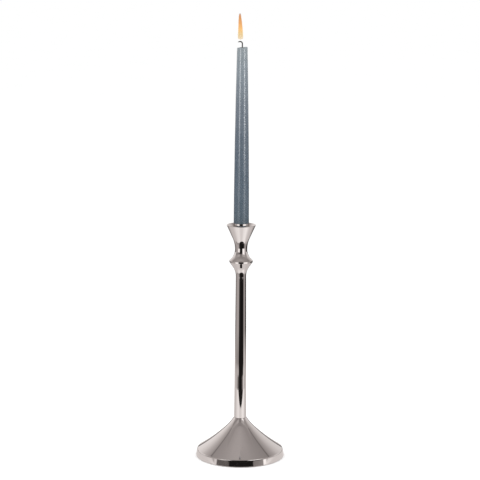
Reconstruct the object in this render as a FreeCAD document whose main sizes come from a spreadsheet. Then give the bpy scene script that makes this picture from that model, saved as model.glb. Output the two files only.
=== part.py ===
"""Polished candlestick with a tapered dinner candle.

A spun base shell holds a cast weight, a foot bush and a felt pad. A tapered stem, a neck collar and a
flared candle cup stand on it, and one threaded rod pulls the whole stack down against a nut under the
weight. The candle stands in a tapered socket in the cup and lifts straight out.

Frame: Z is up, the axis of the stem is the Z axis, and the origin is on it at the underside of the felt.
Every turned piece is drawn as a half section in its own frame, from its own lower face, and is set at
its height in the stack. Lengths are in millimetres.
"""
import FreeCAD, Part
import math
import os
import re

import Sketcher
from FreeCAD import Vector

SIZES = [
    # base
    ("base_radius", 64.6, "outer radius of the base at its lower edge"),
    ("band_flare", 1.8, "how much wider the rim band is at its lower edge"),
    ("band_height", 9.8, "height of the rim band"),
    ("base_height", 56.9, "height of the base shell"),
    ("base_neck_radius", 9.45, "outer radius of the shell where the stem stands on it"),
    ("base_shoulder_radius", 20.0, "radius where the steep curve of the cone runs into the gentle one"),
    ("base_neck_curve", 67.7, "radius of the steep curve of the cone"),
    ("base_cone_curve", 257.0, "radius of the gentle curve of the cone"),
    ("base_wall", 1.2, "wall of the spun shell"),
    ("edge_round", 0.4, "rounding of the shell's lower edge"),
    ("crease_round", 3.0, "rounding of the crease above the rim band"),
    # felt and weight
    ("felt_thickness", 2.0, "thickness of the felt pad"),
    ("felt_proud", 0.6, "how far the felt stands below the shell"),
    ("felt_clearance", 1.2, "gap between the felt and the shell"),
    ("weight_clearance", 0.8, "gap between the weight and the shell"),
    ("weight_top_radius", 50.0, "radius of the weight's upper face"),
    ("weight_slope", 0.75, "slope of the weight's flank as a share of the shell's mean slope"),
    ("recess_gap", 1.5, "gap round the washer in the recess under the weight"),
    # foot bush and rod
    ("bush_flange", 3.0, "thickness of the foot bush's flange"),
    ("bush_gap", 1.0, "gap between the bush's flange and the shell"),
    ("rod_radius", 3.0, "radius of the threaded rod"),
    ("rod_clearance", 0.3, "gap round the rod where it passes through a piece"),
    ("thread_clearance", 0.05, "gap between the rod and a thread that holds it"),
    ("rod_chamfer", 0.6, "chamfer on the rod's ends"),
    ("rod_engagement", 18.0, "length of rod that is screwed into the cup"),
    ("rod_end_gap", 0.8, "gap between the rod's lower end and the felt"),
    ("thread_runout", 2.0, "depth of the cup's threaded hole past the rod's end"),
    # stem
    ("stem_length", 210.5, "length of the stem that shows"),
    ("stem_foot_radius", 8.95, "outer radius of the stem at the base"),
    ("stem_top_radius", 7.5, "outer radius of the stem at the collar"),
    ("stem_bore", 6.2, "radius of the stem's bore"),
    ("stem_round", 0.4, "rounding of the stem's lower edge"),
    ("spigot_length", 10.0, "length of the spigots that centre the stem"),
    ("spigot_clearance", 0.1, "gap between a spigot and its bore"),
    # collar
    ("collar_length", 21.6, "height of the collar that shows"),
    ("collar_curve", 24.4, "radius of the hollow curve at the foot of the collar"),
    ("ridge_radius", 16.9, "outer radius of the ridge where the collar meets the cup"),
    ("ridge_land", 0.6, "height of the ridge's edge below the seam"),
    ("ridge_rise", 1.8, "height of the ridge's edge above the seam"),
    ("ridge_round", 0.5, "rounding of the ridge"),
    ("locating_radius", 6.0, "radius of the cup's locating spigot"),
    ("locating_length", 3.0, "length of the cup's locating spigot"),
    ("locating_depth_gap", 0.3, "gap under the cup's locating spigot"),
    # cup
    ("cup_length", 53.8, "height of the cup from the seam to the rim"),
    ("waist_height", 18.2, "height of the waist above the seam"),
    ("waist_radius", 8.86, "outer radius of the waist"),
    ("flare_curve", 20.8, "radius of the hollow curve between the waist and the ridge"),
    ("throat_curve", 38.8, "radius of the hollow curve above the waist"),
    ("rim_radius", 21.5, "outer radius of the cup's rim"),
    ("rim_wall", 1.4, "wall of the cup at its rim"),
    ("rim_round", 0.45, "rounding of the rim's two edges"),
    ("funnel_depth", 14.9, "depth of the funnel above the socket"),
    ("socket_depth", 7.0, "depth of the tapered socket"),
    ("ring_length", 17.5, "height of the socket ring that steadies the candle"),
    ("ring_wall", 0.7, "wall of the socket ring"),
    ("ring_taper", 0.3, "how much the socket ring's outside narrows at its top"),
    ("ring_taper_length", 4.0, "height of the socket ring's narrowing part"),
    ("ring_round", 0.15, "rounding of the socket ring's top edges"),
    ("ring_seat", 1.5, "depth of the seat that the socket ring is pressed into"),
    ("ring_clearance", 0.02, "gap between the socket ring and its seat"),
    # candle
    ("candle_radius", 11.0, "radius of the candle above the cup"),
    ("candle_foot_radius", 9.6, "radius of the candle's tapered foot"),
    ("candle_clearance", 0.4, "gap between the candle and the socket's wall"),
    ("candle_seat_gap", 0.1, "gap between the candle and the socket's floor"),
    ("candle_length", 276.6, "length of the candle"),
    ("candle_top_radius", 7.4, "radius of the candle at its burnt top"),
    ("candle_middle_radius", 9.85, "radius of the candle halfway between the cup and its top"),
    ("candle_round", 0.9, "rounding of the candle's top edge"),
    ("melt_radius", 5.6, "radius of the melted hollow round the wick"),
    ("melt_depth", 1.6, "depth of the melted hollow"),
    ("wick_radius", 0.9, "radius of the wick"),
    ("wick_clearance", 0.05, "gap between the wick and the wax"),
    ("wick_rise", 4.4, "height of the wick above the candle's top edge before it bends"),
    ("wick_bend", 3.0, "radius of the wick's bend"),
    ("wick_tail", 3.2, "length of the wick past its bend"),
    # flame
    ("flame_length", 38.6, "height of the flame"),
    ("flame_radius", 3.9, "largest radius of the flame"),
    ("flame_belly", 8.5, "height of the widest place of the flame"),
    ("flame_offset", 3.0, "distance of the flame from the candle's axis"),
    ("flame_gap", 0.5, "gap between the wick and the flame"),
    # washers and nut
    ("washer_radius", 10.0, "outer radius of the washer"),
    ("washer_thickness", 1.6, "thickness of the washer"),
    ("spring_washer_radius", 6.1, "outer radius of the spring washer"),
    ("spring_washer_thickness", 1.6, "thickness of the spring washer"),
    ("spring_washer_slit", 1.0, "width of the spring washer's slit"),
    ("nut_flats", 10.0, "width across the flats of the nut"),
    ("nut_height", 5.2, "height of the nut"),
    ("nut_end_gap", 1.2, "gap between the nut and the felt"),
]

doc = FreeCAD.newDocument("candlestick")
sheet = doc.addObject("Spreadsheet::Sheet", "Sizes")
for row, (alias, value, note) in enumerate(SIZES, start=1):
    sheet.set("A%d" % row, alias)
    sheet.set("B%d" % row, str(value))
    sheet.set("C%d" % row, note)
    sheet.setAlias("B%d" % row, alias)
doc.recompute()

SIZE_NAME = re.compile(r"\b(%s)\b" % "|".join(alias for alias, value, note in SIZES))


def cell(formula):
    """The formula with each size's name pointed at its cell in the sheet."""
    return SIZE_NAME.sub(r"Sizes.\1", str(formula))


def number(formula):
    """The formula's value in millimetres."""
    return float(sheet.evalExpression(cell(formula)))


def join(*terms):
    """The sum of several formulas."""
    return " + ".join("(%s)" % term for term in terms)


# ---------------------------------------------------------------- heights in the stack

SHELL_FOOT = "felt_proud"
STEM_FOOT = join(SHELL_FOOT, "base_height")
COLLAR_FOOT = join(STEM_FOOT, "stem_length")
CUP_FOOT = join(COLLAR_FOOT, "collar_length")
SOCKET_TOP = "cup_length - funnel_depth"
SOCKET_FLOOR = "cup_length - funnel_depth - socket_depth"
CANDLE_FOOT = join(CUP_FOOT, SOCKET_FLOOR, "candle_seat_gap")
BUSH_FOOT = join(STEM_FOOT, "0 - base_wall - bush_flange")
WEIGHT_FOOT = "felt_thickness"
RECESS_DEPTH = "nut_end_gap + nut_height + spring_washer_thickness + washer_thickness"
NUT_FOOT = "felt_thickness + nut_end_gap"
SPRING_WASHER_FOOT = join(NUT_FOOT, "nut_height")
WASHER_FOOT = join(SPRING_WASHER_FOOT, "spring_washer_thickness")
ROD_FOOT = "felt_thickness + rod_end_gap"
ROD_HOLE = "rod_radius + rod_clearance"
THREAD_HOLE = "rod_radius + thread_clearance"
SPIGOT = "stem_bore - spigot_clearance"
WICK_TOP = "candle_length + wick_rise"
FLAME_FOOT = join(CANDLE_FOOT, WICK_TOP, "wick_bend + wick_radius + flame_gap")


# ---------------------------------------------------------------- half sections

class Corner:
    """A corner of a half section at radius x and height z. A smooth corner is one where two edges run
    into each other: its free coordinates are only a first place, and the edges settle them."""

    def __init__(self, x, z, fix_x=True, fix_z=True, smooth=False):
        self.x = x
        self.z = z
        self.fix_x = fix_x
        self.fix_z = fix_z
        self.smooth = smooth


class Curve:
    """An arc between two corners. side is 1 with its centre on the left of the way round, and -1 on
    the right. An upright arc starts straight up, level with its centre."""

    def __init__(self, radius, side, upright=False):
        self.radius = radius
        self.side = side
        self.upright = upright


def arc_between(start, end, radius, side):
    """An arc from start to end with its centre on the named side, and its ends' places 1 and 2."""
    chord = end - start
    middle = (start + end) * 0.5
    reach = math.sqrt(max(radius ** 2 - (chord.Length / 2) ** 2, 0.0))
    left = Vector(-chord.y, chord.x, 0).normalize()
    centre = middle + left * (reach * side)
    first = math.atan2(start.y - centre.y, start.x - centre.x)
    last = math.atan2(end.y - centre.y, end.x - centre.x)
    circle = Part.Circle(centre, Vector(0, 0, 1), radius)
    if side > 0:
        return Part.ArcOfCircle(circle, first, last), 1, 2
    return Part.ArcOfCircle(circle, last, first), 2, 1


def hold(sketch, kind, places, formula):
    """Adds a dimension to the sketch and ties it to the sheet."""
    rule = sketch.addConstraint(Sketcher.Constraint(kind, *places, number(formula)))
    sketch.setExpression("Constraints[%d]" % rule, cell(formula))


def pin(sketch, kind, edge, place, formula):
    """Holds one end of an edge at a distance from the sketch's origin, along X or along Y."""
    if str(formula) == "0":
        axis = -2 if kind == "DistanceX" else -1
        sketch.addConstraint(Sketcher.Constraint("PointOnObject", edge, place, axis))
    else:
        hold(sketch, kind, (-1, 1, edge, place), formula)


def draw_section(sketch, outline):
    """Draws a closed half section: corners, with a Curve between two corners that an arc joins."""
    corners = [item for item in outline if isinstance(item, Corner)]
    curves = {}
    for item in outline:
        if isinstance(item, Corner):
            current = corners.index(item)
        else:
            curves[current] = item
    spots = [Vector(number(corner.x), number(corner.z), 0) for corner in corners]
    edges = []
    for index, spot in enumerate(spots):
        following = spots[(index + 1) % len(spots)]
        if index in curves:
            curve = curves[index]
            shape, start, end = arc_between(spot, following, number(curve.radius), curve.side)
        else:
            shape, start, end = Part.LineSegment(spot, following), 1, 2
        edges.append((sketch.addGeometry(shape, False), start, end))
    for index, corner in enumerate(corners):
        before, before_start, before_end = edges[index - 1]
        edge, start, end = edges[index]
        link = "Tangent" if corner.smooth else "Coincident"
        sketch.addConstraint(Sketcher.Constraint(link, before, before_end, edge, start))
        if corner.fix_x:
            pin(sketch, "DistanceX", edge, start, corner.x)
        if corner.fix_z:
            pin(sketch, "DistanceY", edge, start, corner.z)
    for index, curve in curves.items():
        edge, start, end = edges[index]
        hold(sketch, "Radius", (edge,), curve.radius)
        if curve.upright:
            sketch.addConstraint(Sketcher.Constraint("Horizontal", edge, 3, edge, start))


def origin_plane(body, role):
    """One of the body's own origin planes."""
    return [item for item in body.Origin.OriginFeatures if item.Role == role][0]


def new_sketch(body, name, role):
    sketch = body.newObject("Sketcher::SketchObject", name)
    sketch.AttachmentSupport = [(origin_plane(body, role), "")]
    sketch.MapMode = "FlatFace"
    return sketch


PIECES = []


def new_body(name, height):
    body = doc.addObject("PartDesign::Body", name)
    body.Label = name
    body.setExpression("Placement.Base.z", cell(height))
    PIECES.append(body)
    return body


def turned(name, height, outline):
    """A piece turned about Z from a half section, standing at the given height."""
    body = new_body(name, height)
    sketch = new_sketch(body, name + "_section", "XZ_Plane")
    draw_section(sketch, outline)
    turn = body.newObject("PartDesign::Revolution", name + "_turn")
    turn.Profile = sketch
    turn.ReferenceAxis = (sketch, ["V_Axis"])
    turn.Angle = 360.0
    sketch.Visibility = False
    doc.recompute()
    if not sketch.FullyConstrained:
        raise RuntimeError(name + "'s half section is not held by its sizes")
    return body


def round_rings(body, name, size, rings):
    """Rounds circular edges of a turned piece. Each ring is a radius and a height in its own frame."""
    turn = body.Tip
    wanted = [(number(radius), number(height)) for radius, height in rings]
    found = []
    for index, edge in enumerate(turn.Shape.Edges, start=1):
        curve = edge.Curve
        if not isinstance(curve, Part.Circle):
            continue
        for radius, height in wanted:
            if abs(curve.Radius - radius) < 0.01 and abs(curve.Center.z - height) < 0.01:
                found.append("Edge%d" % index)
    if len(found) != len(rings):
        raise RuntimeError("%s: %d rings wanted, %d found" % (name, len(rings), len(found)))
    fillet = body.newObject("PartDesign::Fillet", name)
    fillet.Base = (turn, found)
    fillet.setExpression("Radius", cell(size))
    doc.recompute()


# ---------------------------------------------------------------- base

felt_pad = turned("felt_pad", "0", [
    Corner(0, 0),
    Corner("base_radius - base_wall - felt_clearance", 0),
    Corner("base_radius - base_wall - felt_clearance", "felt_thickness"),
    Corner(0, "felt_thickness"),
])

base_shell = turned("base_shell", SHELL_FOOT, [
    Corner("base_radius", 0),
    Corner("base_radius - band_flare", "band_height"),
    Curve("base_cone_curve", -1),
    Corner("base_shoulder_radius", "band_height + (base_height - band_height) * 0.72",
           fix_z=False, smooth=True),
    Curve("base_neck_curve", -1),
    Corner("base_neck_radius", "base_height"),
    Corner(SPIGOT + " + spigot_clearance", "base_height"),
    Corner(SPIGOT + " + spigot_clearance", "base_height - base_wall"),
    Corner("base_neck_radius - base_wall / 2", "base_height - base_wall"),
    Curve("base_neck_curve + base_wall", 1),
    Corner("base_shoulder_radius - base_wall * 2 / 3",
           "band_height + (base_height - band_height) * 0.72 - base_wall * 3 / 4",
           fix_z=False, smooth=True),
    Curve("base_cone_curve + base_wall", 1),
    Corner("base_radius - band_flare - base_wall", "band_height - base_wall / 2"),
    Corner("base_radius - base_wall", 0),
])
round_rings(base_shell, "base_crease_round", "crease_round", [("base_radius - band_flare", "band_height")])
round_rings(base_shell, "base_edge_round", "edge_round", [
    ("base_radius", 0),
    ("base_neck_radius", "base_height"),
])

WEIGHT_SIDE_RADIUS = "base_radius - band_flare - base_wall - weight_clearance"
WEIGHT_SIDE_HEIGHT = "felt_proud + band_height - base_wall / 2 - weight_clearance - felt_thickness"
WEIGHT_RISE = ("(base_radius - band_flare - base_wall - weight_clearance - weight_top_radius) * weight_slope"
               " * (base_height - band_height) / (base_radius - band_flare - base_neck_radius)")
WEIGHT_BOSS_RADIUS = "base_neck_radius - base_wall / 2 - bush_gap"
WEIGHT_BOSS_HEIGHT = join(BUSH_FOOT, "0 - felt_thickness")

base_weight = turned("base_weight", WEIGHT_FOOT, [
    Corner("washer_radius + recess_gap", 0),
    Corner(WEIGHT_SIDE_RADIUS, 0),
    Corner(WEIGHT_SIDE_RADIUS, WEIGHT_SIDE_HEIGHT),
    Corner("weight_top_radius", join(WEIGHT_SIDE_HEIGHT, WEIGHT_RISE)),
    Corner(WEIGHT_BOSS_RADIUS, join(WEIGHT_SIDE_HEIGHT, WEIGHT_RISE)),
    Corner(WEIGHT_BOSS_RADIUS, WEIGHT_BOSS_HEIGHT),
    Corner(ROD_HOLE, WEIGHT_BOSS_HEIGHT),
    Corner(ROD_HOLE, RECESS_DEPTH),
    Corner("washer_radius + recess_gap", RECESS_DEPTH),
])

BUSH_TOP = "bush_flange + base_wall + spigot_length"
foot_bush = turned("foot_bush", BUSH_FOOT, [
    Corner(ROD_HOLE, 0),
    Corner(WEIGHT_BOSS_RADIUS, 0),
    Corner(WEIGHT_BOSS_RADIUS, "bush_flange"),
    Corner(SPIGOT, "bush_flange"),
    Corner(SPIGOT, BUSH_TOP),
    Corner(ROD_HOLE, BUSH_TOP),
])

# ---------------------------------------------------------------- stem, collar and cup

stem_tube = turned("stem_tube", STEM_FOOT, [
    Corner("stem_bore", 0),
    Corner("stem_foot_radius", 0),
    Corner("stem_top_radius", "stem_length"),
    Corner("stem_bore", "stem_length"),
])
round_rings(stem_tube, "stem_foot_round", "stem_round", [("stem_foot_radius", 0)])

COLLAR_TOP = "spigot_length + collar_length"
RECESS_RADIUS = "locating_radius + spigot_clearance"
RECESS_FLOOR = "spigot_length + collar_length - locating_length - locating_depth_gap"
neck_collar = turned("neck_collar", join(COLLAR_FOOT, "0 - spigot_length"), [
    Corner(ROD_HOLE, 0),
    Corner(SPIGOT, 0),
    Corner(SPIGOT, "spigot_length"),
    Corner("stem_top_radius", "spigot_length"),
    Curve("collar_curve", -1, upright=True),
    Corner("stem_top_radius + collar_curve * 0.17", "spigot_length + collar_curve * 0.55",
           fix_x=False, fix_z=False, smooth=True),
    Corner("ridge_radius", COLLAR_TOP + " - ridge_land"),
    Corner("ridge_radius", COLLAR_TOP),
    Corner(RECESS_RADIUS, COLLAR_TOP),
    Corner(RECESS_RADIUS, RECESS_FLOOR),
    Corner(ROD_HOLE, RECESS_FLOOR),
])
round_rings(neck_collar, "collar_ridge_round", "ridge_round", [
    ("ridge_radius", COLLAR_TOP + " - ridge_land"),
])

CUP_SEAM = "locating_length"
THREAD_TOP = "locating_length + rod_engagement + thread_runout"
SOCKET_RADIUS = "candle_radius + candle_clearance"
RING_SEAT_RADIUS = "candle_radius + candle_clearance + ring_wall + ring_clearance"
candle_cup = turned("candle_cup", join(CUP_FOOT, "0 - locating_length"), [
    Corner(THREAD_HOLE, 0),
    Corner("locating_radius", 0),
    Corner("locating_radius", CUP_SEAM),
    Corner("ridge_radius", CUP_SEAM),
    Corner("ridge_radius", CUP_SEAM + " + ridge_rise"),
    Curve("flare_curve", -1),
    Corner("waist_radius", CUP_SEAM + " + waist_height"),
    Curve("throat_curve", -1, upright=True),
    Corner("waist_radius + throat_curve * 0.092", CUP_SEAM + " + waist_height + throat_curve * 0.418",
           fix_x=False, fix_z=False, smooth=True),
    Corner("rim_radius", CUP_SEAM + " + cup_length"),
    Corner("rim_radius - rim_wall", CUP_SEAM + " + cup_length"),
    Corner(RING_SEAT_RADIUS, join(CUP_SEAM, SOCKET_TOP, "ring_seat")),
    Corner(RING_SEAT_RADIUS, CUP_SEAM + " + " + SOCKET_TOP),
    Corner(SOCKET_RADIUS, CUP_SEAM + " + " + SOCKET_TOP),
    Corner("candle_foot_radius + candle_clearance", CUP_SEAM + " + " + SOCKET_FLOOR),
    Corner(0, CUP_SEAM + " + " + SOCKET_FLOOR),
    Corner(0, THREAD_TOP),
    Corner(THREAD_HOLE, THREAD_TOP),
])
round_rings(candle_cup, "cup_ridge_round", "ridge_round", [("ridge_radius", CUP_SEAM + " + ridge_rise")])
round_rings(candle_cup, "cup_rim_round", "rim_round", [
    ("rim_radius", CUP_SEAM + " + cup_length"),
    ("rim_radius - rim_wall", CUP_SEAM + " + cup_length"),
])

socket_ring = turned("socket_ring", join(CUP_FOOT, SOCKET_TOP), [
    Corner(SOCKET_RADIUS, 0),
    Corner(SOCKET_RADIUS + " + ring_wall", 0),
    Corner(SOCKET_RADIUS + " + ring_wall", "ring_length - ring_taper_length"),
    Corner(SOCKET_RADIUS + " + ring_wall - ring_taper", "ring_length"),
    Corner(SOCKET_RADIUS, "ring_length"),
])
round_rings(socket_ring, "ring_top_round", "ring_round", [
    (SOCKET_RADIUS, "ring_length"),
    (SOCKET_RADIUS + " + ring_wall - ring_taper", "ring_length"),
])

# ---------------------------------------------------------------- rod, washers and nut

ROD_LENGTH = join(CUP_FOOT, "rod_engagement", "0 - felt_thickness - rod_end_gap")
tie_rod = turned("tie_rod", ROD_FOOT, [
    Corner(0, 0),
    Corner("rod_radius - rod_chamfer", 0),
    Corner("rod_radius", "rod_chamfer"),
    Corner("rod_radius", ROD_LENGTH + " - rod_chamfer"),
    Corner("rod_radius - rod_chamfer", ROD_LENGTH),
    Corner(0, ROD_LENGTH),
])

rod_washer = turned("rod_washer", WASHER_FOOT, [
    Corner(ROD_HOLE, 0),
    Corner("washer_radius", 0),
    Corner("washer_radius", "washer_thickness"),
    Corner(ROD_HOLE, "washer_thickness"),
])

spring_washer = turned("spring_washer", SPRING_WASHER_FOOT, [
    Corner(ROD_HOLE, 0),
    Corner("spring_washer_radius", 0),
    Corner("spring_washer_radius", "spring_washer_thickness"),
    Corner(ROD_HOLE, "spring_washer_thickness"),
])
ring_volume = spring_washer.Shape.Volume
slit_sketch = new_sketch(spring_washer, "spring_washer_slit_outline", "XY_Plane")
SLIT_REACH = "spring_washer_radius + spring_washer_slit"
slit_reach = number(SLIT_REACH)
slit_half = number("spring_washer_slit / 2")
slit_corners = [
    Vector(0, -slit_half, 0),
    Vector(slit_reach, -slit_half, 0),
    Vector(slit_reach, slit_half, 0),
    Vector(0, slit_half, 0),
]
for index in range(4):
    slit_sketch.addGeometry(Part.LineSegment(slit_corners[index], slit_corners[(index + 1) % 4]), False)
for index in range(4):
    slit_sketch.addConstraint(Sketcher.Constraint("Coincident", index, 2, (index + 1) % 4, 1))
for index, direction in [(0, "Horizontal"), (2, "Horizontal"), (3, "Vertical")]:
    slit_sketch.addConstraint(Sketcher.Constraint(direction, index))
slit_sketch.addConstraint(Sketcher.Constraint("PointOnObject", 0, 1, -2))
slit_sketch.addConstraint(Sketcher.Constraint("Symmetric", 0, 2, 1, 2, -1))
hold(slit_sketch, "DistanceY", (1, 1, 1, 2), "spring_washer_slit")
hold(slit_sketch, "DistanceX", (0, 1, 0, 2), SLIT_REACH)
slit = spring_washer.newObject("PartDesign::Pocket", "spring_washer_slit_cut")
slit.Profile = slit_sketch
slit.Reversed = True
slit.Type = "Length"
slit.setExpression("Length", cell("spring_washer_thickness"))
doc.recompute()
if not spring_washer.Shape.Volume < ring_volume:
    raise RuntimeError("the spring washer's slit cuts nothing")

nut_block = doc.addObject("Part::Prism", "nut_block")
nut_block.Polygon = 6
nut_block.setExpression("Circumradius", cell("nut_flats / (2 * cos(30 deg))"))
nut_block.setExpression("Height", cell("nut_height"))
nut_thread = doc.addObject("Part::Cylinder", "nut_thread")
nut_thread.setExpression("Radius", cell(THREAD_HOLE))
nut_thread.setExpression("Height", cell("nut_height"))
hex_nut = doc.addObject("Part::Cut", "hex_nut")
hex_nut.Label = "hex_nut"
hex_nut.Base = nut_block
hex_nut.Tool = nut_thread
hex_nut.setExpression("Placement.Base.z", cell(NUT_FOOT))
PIECES.append(hex_nut)

# ---------------------------------------------------------------- candle

WICK_HOLE = "wick_radius + wick_clearance"
candle_wax = turned("candle_wax", CANDLE_FOOT, [
    Corner(WICK_HOLE, 0),
    Corner("candle_foot_radius", 0),
    Corner("candle_radius", "socket_depth"),
    Corner("candle_radius", "socket_depth + funnel_depth"),
    Corner("candle_middle_radius", "(socket_depth + funnel_depth + candle_length) / 2"),
    Corner("candle_top_radius", "candle_length"),
    Corner("melt_radius", "candle_length"),
    Corner(WICK_HOLE, "candle_length - melt_depth"),
])
round_rings(candle_wax, "candle_top_round", "candle_round", [("candle_top_radius", "candle_length")])

candle_wick = new_body("candle_wick", CANDLE_FOOT)
wick_path = new_sketch(candle_wick, "wick_path", "XZ_Plane")
wick_height = number(WICK_TOP)
wick_bend = number("wick_bend")
wick_tail = number("wick_tail")
bend_circle = Part.Circle(Vector(-wick_bend, wick_height, 0), Vector(0, 0, 1), wick_bend)
tail_start = Vector(-wick_bend, wick_height + wick_bend, 0)
wick_path.addGeometry(Part.LineSegment(Vector(0, 0, 0), Vector(0, wick_height, 0)), False)
wick_path.addGeometry(Part.ArcOfCircle(bend_circle, 0, math.pi / 2), False)
wick_path.addGeometry(Part.LineSegment(tail_start, tail_start - Vector(wick_tail, 0, 0)), False)
wick_path.addConstraint(Sketcher.Constraint("Coincident", 0, 1, -1, 1))
wick_path.addConstraint(Sketcher.Constraint("Vertical", 0))
wick_path.addConstraint(Sketcher.Constraint("Tangent", 0, 2, 1, 1))
wick_path.addConstraint(Sketcher.Constraint("Tangent", 1, 2, 2, 1))
wick_path.addConstraint(Sketcher.Constraint("Horizontal", 2))
hold(wick_path, "DistanceY", (0, 1, 0, 2), WICK_TOP)
hold(wick_path, "Radius", (1,), "wick_bend")
hold(wick_path, "DistanceX", (2, 2, 2, 1), "wick_tail")
wick_round = new_sketch(candle_wick, "wick_round", "XY_Plane")
wick_round.addGeometry(Part.Circle(Vector(0, 0, 0), Vector(0, 0, 1), number("wick_radius")), False)
wick_round.addConstraint(Sketcher.Constraint("Coincident", 0, 3, -1, 1))
hold(wick_round, "Radius", (0,), "wick_radius")
wick_pipe = candle_wick.newObject("PartDesign::AdditivePipe", "wick_pipe")
wick_pipe.Profile = wick_round
wick_pipe.Spine = (wick_path, ["Edge1", "Edge2", "Edge3"])
doc.recompute()
wick_length = wick_height + wick_bend * math.pi / 2 + wick_tail
wick_volume = wick_length * math.pi * number("wick_radius") ** 2
if abs(candle_wick.Shape.Volume - wick_volume) > 0.01 * wick_volume:
    raise RuntimeError("the wick's pipe is not its section times its length")

candle_flame = turned("candle_flame", FLAME_FOOT, [
    Corner(0, 0),
    Corner("flame_radius * 0.7", "flame_belly * 0.3"),
    Corner("flame_radius", "flame_belly"),
    Corner("flame_radius * 0.85", "flame_belly + (flame_length - flame_belly) * 0.35"),
    Corner("flame_radius * 0.45", "flame_belly + (flame_length - flame_belly) * 0.75"),
    Corner(0, "flame_length"),
])
candle_flame.setExpression("Placement.Base.x", cell("0 - flame_offset"))

# ---------------------------------------------------------------- checks and export

doc.recompute()
for item in doc.Objects:
    if "Invalid" in item.State or "Error" in item.State:
        raise RuntimeError("%s did not build: %s" % (item.Name, item.State))
for piece in PIECES:
    if piece.Shape.isNull() or not piece.Shape.isValid() or len(piece.Shape.Solids) != 1:
        raise RuntimeError(piece.Label + " is not one valid solid")

os.makedirs("parts", exist_ok=True)
for piece in PIECES:
    piece.Shape.exportStep(os.path.join("parts", piece.Label + ".step"))
    box = piece.Shape.BoundBox
    print("%-14s z %7.2f to %7.2f  x %7.2f to %7.2f  volume %9.1f mm3" % (
        piece.Label, box.ZMin, box.ZMax, box.XMin, box.XMax, piece.Shape.Volume))
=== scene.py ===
"""Finished look of a polished nickel candlestick with a burning dinner candle.

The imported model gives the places: every piece here is turned, swept or shaped to the box of the part that
it stands for. Lengths are in metres, Z is up and the axis of the stem is the Z axis.
"""
import math

import bmesh
import bpy
from mathutils import Matrix, Vector, noise


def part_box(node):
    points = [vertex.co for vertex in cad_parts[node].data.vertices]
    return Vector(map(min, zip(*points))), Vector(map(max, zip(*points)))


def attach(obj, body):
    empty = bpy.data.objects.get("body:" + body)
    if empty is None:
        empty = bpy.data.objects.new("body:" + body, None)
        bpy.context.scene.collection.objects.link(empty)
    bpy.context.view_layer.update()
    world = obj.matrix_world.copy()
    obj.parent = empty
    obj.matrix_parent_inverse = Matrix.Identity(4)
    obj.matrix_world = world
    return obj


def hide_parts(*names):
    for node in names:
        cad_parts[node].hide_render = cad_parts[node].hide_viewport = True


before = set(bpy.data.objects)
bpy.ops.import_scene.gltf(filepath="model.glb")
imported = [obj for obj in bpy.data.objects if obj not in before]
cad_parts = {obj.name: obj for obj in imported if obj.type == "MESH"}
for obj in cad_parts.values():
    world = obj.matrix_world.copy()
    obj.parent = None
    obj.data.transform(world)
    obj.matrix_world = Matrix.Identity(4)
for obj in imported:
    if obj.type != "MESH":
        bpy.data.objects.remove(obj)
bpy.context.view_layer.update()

MM = 0.001
TURN_STEPS = 192
PLAIN_STEPS = 96
FLAME_STEPS = 48
ARC_STEPS = 24
FINE_GAP = 0.04 * MM
FINE_STRETCH = 0.3 * MM
EDGE_ROUND = 0.4 * MM

base_low, base_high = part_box("base_shell")
stem_low, stem_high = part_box("stem_tube")
collar_low, collar_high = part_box("neck_collar")
cup_low, cup_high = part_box("candle_cup")
ring_low, ring_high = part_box("socket_ring")
wax_low, wax_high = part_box("candle_wax")
wick_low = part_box("candle_wick")[0]
flame_low, flame_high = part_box("candle_flame")
felt_low, felt_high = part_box("felt_pad")


# ---------------------------------------------------------------- outlines and meshes

def arc(start, end, radius, side, count=ARC_STEPS):
    """Points of an arc from start to end, with its centre on the left (1) or right (-1) of the way."""
    start, end = Vector(start), Vector(end)
    chord = end - start
    reach = math.sqrt(max(radius ** 2 - (chord.length / 2) ** 2, 0.0))
    left = Vector((-chord.y, chord.x)).normalized()
    centre = (start + end) / 2 + left * reach * side
    first = math.atan2(start.y - centre.y, start.x - centre.x)
    turn = 2 * math.asin(min(chord.length / (2 * radius), 1.0)) * side
    return [(centre.x + radius * math.cos(first + turn * i / count),
             centre.y + radius * math.sin(first + turn * i / count)) for i in range(count + 1)]


def rising_arc(radius, height, curve, turn):
    """Points of an arc that starts straight up at a radius and leans outwards until its turn is made."""
    angles = [turn * i / ARC_STEPS for i in range(ARC_STEPS + 1)]
    return [(radius + curve * (1 - math.cos(angle)), height + curve * math.sin(angle)) for angle in angles]


def tangent_turn(curve, point):
    """How far an arc that starts straight up turns before its tangent meets a point.

    The point is given from the arc's start, and the arc's centre is a radius away to the right of it.
    """
    away = Vector((point[0] - curve, point[1]))
    return math.pi - math.atan2(away.y, away.x) - math.acos(curve / away.length)


def rounded(points, corners, radius, count=6):
    """The outline with the corners of the given numbers rounded."""
    result = []
    for index, point in enumerate(points):
        if index not in corners:
            result.append(point)
            continue
        corner = Vector(point)
        before = (Vector(points[index - 1]) - corner).normalized()
        after = (Vector(points[(index + 1) % len(points)]) - corner).normalized()
        half = before.angle(after) / 2
        start = corner + before * radius / math.tan(half)
        end = corner + after * radius / math.tan(half)
        side = -1 if before.x * after.y - before.y * after.x > 0 else 1
        result += arc(start, end, radius, side, count)
    return result


def supported(outline, gap=0.12 * MM, longest=1.2 * MM):
    """The outline with two more points near the ends of each long stretch, so that it shades flat."""
    result = []
    for index, point in enumerate(outline):
        start, end = Vector(point), Vector(outline[(index + 1) % len(outline)])
        result.append(point)
        length = (end - start).length
        if length > longest:
            result.append(tuple(start + (end - start) * gap / length))
            result.append(tuple(end + (start - end) * gap / length))
    return result


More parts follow.
